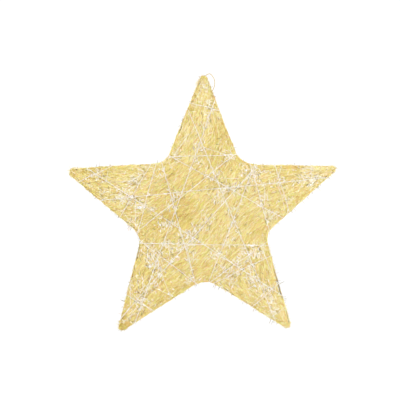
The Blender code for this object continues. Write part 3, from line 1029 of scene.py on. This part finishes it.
def straight_tinsel(name, side, finish):
    """Short straight metal strands, in the patches, along the thread and here and there."""
    centres, radii, strands, leans = tinsel_patches(side)
    each = np.repeat(np.arange(len(centres)), (strands * TINSEL_SHARE).astype(int))
    count = len(each)
    crosswise = DRAW.random(count) < CROSSWISE_SHARE
    turns = np.where(crosswise, DRAW.normal(*CROSSWISE_TURNS, count), DRAW.normal(0, TINSEL_TURN, count))
    angles = leans[each] + turns
    comb_ways = way_at(angles)
    along = DRAW.uniform(-PATCH_REACH, PATCH_REACH, count) * radii[each]
    across = DRAW.uniform(-PATCH_REACH, PATCH_REACH, count) * radii[each]
    across = np.round(across / COMB_SPACING) * COMB_SPACING + DRAW.normal(0, COMB_WAVER, count)
    in_patches = centres[each] + comb_ways * along[:, None] + outward_of(comb_ways) * across[:, None]

    # The front's lines are every other one from the first, and the back's those between
    lines = thread_lines()[0 if side < 0 else 1::2]
    starts = np.array([start[0] for start, _ in lines])
    gaps = np.array([end[0] for _, end in lines]) - starts
    weights = np.linalg.norm(gaps, axis=1)
    picks = DRAW.choice(len(lines), TINSEL_ON_RUNS, p=weights / weights.sum())
    on_runs = starts[picks] + gaps[picks] * DRAW.random((TINSEL_ON_RUNS, 1))
    on_runs = on_runs + DRAW.normal(0, RUN_SPREAD, on_runs.shape)
    run_angles = angle_of(gaps[picks]) + DRAW.normal(0, RUN_TURN, TINSEL_ON_RUNS)

    places = np.concatenate((in_patches, on_runs, scattered(LOOSE_TINSEL, LOOSE_MARGIN)))
    angles = np.concatenate((angles, run_angles, DRAW.uniform(0, math.pi, LOOSE_TINSEL)))
    count = len(places)
    lengths = DRAW.uniform(*TINSEL_LENGTHS, count)
    paths = bent_paths(places, angles, lengths, DRAW.normal(0, TINSEL_BEND, count))
    lifts = DRAW.uniform(*TINSEL_LIFTS, count)
    widths = DRAW.uniform(*TINSEL_WIDTHS, count)
    on_face(name, paths, side, lifts, widths, DARK_TINSEL_SHARE, finish)


def stray_ends(name, tips_in_pixels, lengths, tones, finish):
    """Loose ends that stand out past the rim, at chosen places and all round."""
    tips = from_pixels(tips_in_pixels)
    distance, _, towards = beside_edges(tips)
    roots = tips - towards * (CHOSEN_ROOT_DEPTH - distance)[:, None]
    roots = roots + DRAW.normal(0, ROOT_SPREAD, tips.shape)
    at_rim, ways = on_outline(LOOSE_ENDS)
    swing = DRAW.normal(0, STRAY_SWING, LOOSE_ENDS)[:, None]
    out = outward_of(ways) * np.cos(swing) + ways * np.sin(swing)
    loose_tips = at_rim + out * DRAW.uniform(*lengths, LOOSE_ENDS)[:, None]
    roots = np.concatenate((roots, at_rim - outward_of(ways) * LOOSE_ROOT_DEPTH))
    tips = np.concatenate((tips, loose_tips))
    count = len(roots)
    paths = bent_between(roots, tips, DRAW.normal(0, STRAY_BEND, count))
    depths = DRAW.normal(0, STRAY_DEPTH_SPREAD, count)[:, None]
    depths = depths + DRAW.normal(0, STRAY_WAVER, paths.shape[:2])
    widths = DRAW.uniform(*STRAY_WIDTHS, count)
    widths[:len(tips_in_pixels)] += CHOSEN_EXTRA_WIDTH
    tones = DRAW.uniform(*tones, count)
    add_strands(name, in_space(paths, depths), BACKWARD, widths, 1.0, tones, finish)


def loop_line():
    """The hanging loop's centre line: a smooth curve through its route."""
    route = np.array([in_space(np.array((x, z)), y) for x, y, z in LOOP_ROUTE])
    ends = np.concatenate((2 * route[:1] - route[1:2], route, 2 * route[-1:] - route[-2:-1]))
    points = [route[0]]
    for before, start, end, after in zip(ends, ends[1:], ends[2:], ends[3:]):
        slope = end - before
        bend = 2 * before - 5 * start + 4 * end - after
        twist = 3 * start - before - 3 * end + after
        for t in np.arange(1, LOOP_CURVE_STEPS + 1) / LOOP_CURVE_STEPS:
            points.append((2 * start + slope * t + bend * t ** 2 + twist * t ** 3) / 2)
    return np.array(points)


def hanging_loop(finish):
    """The gold thread looped at the top tip."""
    points = loop_line()
    curve = bpy.data.curves.new("gold_loop", "CURVE")
    curve.dimensions = "3D"
    curve.bevel_depth = LOOP_DIAMETER / 2
    curve.bevel_resolution = 4
    curve.use_fill_caps = True
    spline = curve.splines.new("POLY")
    spline.points.add(len(points) - 1)
    spline.points.foreach_set("co", np.pad(points, ((0, 0), (0, 1)), constant_values=1.0).ravel())
    piece = add_piece("gold_loop", curve, finish, ["hanging_loop"])


def dress_wire():
    """The frame wire keeps its shape, and takes a dull dark steel finish."""
    finish = solid_finish("bare_steel", WIRE_TONES, WIRE_GRAIN, roughness=0.45, metallic=0.7)
    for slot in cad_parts["wire_frame"].material_slots:
        slot.material = finish.material


def add_camera():
    """A camera straight in front, framed as the photograph is."""
    data = bpy.data.cameras.new("camera")
    camera = add_object("camera", data)
    middle_pixel = (PHOTO_PIXELS - 1) / 2
    camera.location = in_space(from_pixels((middle_pixel, middle_pixel)), -CAMERA_DISTANCE)
    camera.rotation_euler = (math.pi / 2, 0, 0)
    data.sensor_width = SENSOR_WIDTH
    data.lens = SENSOR_WIDTH * CAMERA_DISTANCE / (PHOTO_PIXELS * PIXEL_SIZE)
    bpy.context.scene.camera = camera


def add_floor():
    """A plain pale floor below the star."""
    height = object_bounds()[0].z - FLOOR_DROP
    ways = ((-1, -1), (1, -1), (1, 1), (-1, 1))
    corners = [(x * FLOOR_REACH, y * FLOOR_REACH, height) for x, y in ways]
    mesh = bpy.data.meshes.new("floor")
    mesh.from_pydata(corners, [], [(0, 1, 2, 3)])
    floor = add_object("floor", mesh)
    paint = Finish("pale_floor")
    paint.surface(Base_Color=FLOOR_COLOUR, Roughness=0.9)
    mesh.materials.append(paint.material)


def add_light(name, place, size, power):
    """A soft square light, turned to the middle of the star."""
    data = bpy.data.lights.new(name, "AREA")
    data.size = size
    data.energy = power
    light = add_object(name, data)
    light.location = place
    target = Vector((0.0, 0.0, -TOP_BEND[1]))
    light.rotation_euler = (target - light.location).to_track_quat("-Z", "Y").to_euler()


def add_lights():
    """Even white light from all round, with a soft key light and a weaker fill light in front."""
    world = bpy.data.worlds.new("studio")
    world.use_nodes = True
    background = world.node_tree.nodes["Background"]
    background.inputs["Color"].default_value = WORLD_COLOUR
    background.inputs["Strength"].default_value = WORLD_STRENGTH
    bpy.context.scene.world = world
    add_light("key", place=(1.1, -2.0, 0.9), size=0.9, power=13.2)
    add_light("fill", place=(-1.5, -1.9, 0.2), size=1.2, power=4.7)
    bpy.context.scene.view_settings.view_transform = "Standard"


def dress():
    """Every piece in turn, with the camera before them and the room after."""
    add_camera()
    hanging_loop(solid_finish("gold_cord", CORD_TONES, CORD_GRAIN, roughness=0.45, metallic=0.3))
    dress_wire()
    fibre = strand_finish("gold_fibre", FIBRE_TONES, roughness=0.62)
    metal = strand_finish("tinsel", TINSEL_TONES, roughness=0.35, metallic=0.35)
    silver = strand_finish("silver_tape", SILVER_TONES, roughness=0.35, metallic=0.3)
    heart_fibres(fibre)
    face_fibres(FRONT_LAYERS, -1, TUFTS_IN_LAYER, fibre)
    face_fibres(("back_fibres",), 1, BACK_TUFTS, fibre)
    rim_fibres(fibre)
    rim_wraps(fibre)
    silver_winding(silver)
    fine_threads(silver)
    for side, face in ((-1, "front"), (1, "back")):
        crinkled_tinsel(face + "_crinkled_tinsel", side, metal)
        straight_tinsel(face + "_straight_tinsel", side, metal)
    stray_ends("stray_tinsel", STRAY_TINSEL, STRAY_TINSEL_LENGTHS, STRAY_TINSEL_TONES, metal)
    stray_ends("stray_fibres", STRAY_FIBRES, STRAY_FIBRE_LENGTHS, STRAY_FIBRE_TONES, fibre)
    add_floor()
    add_lights()


dress()
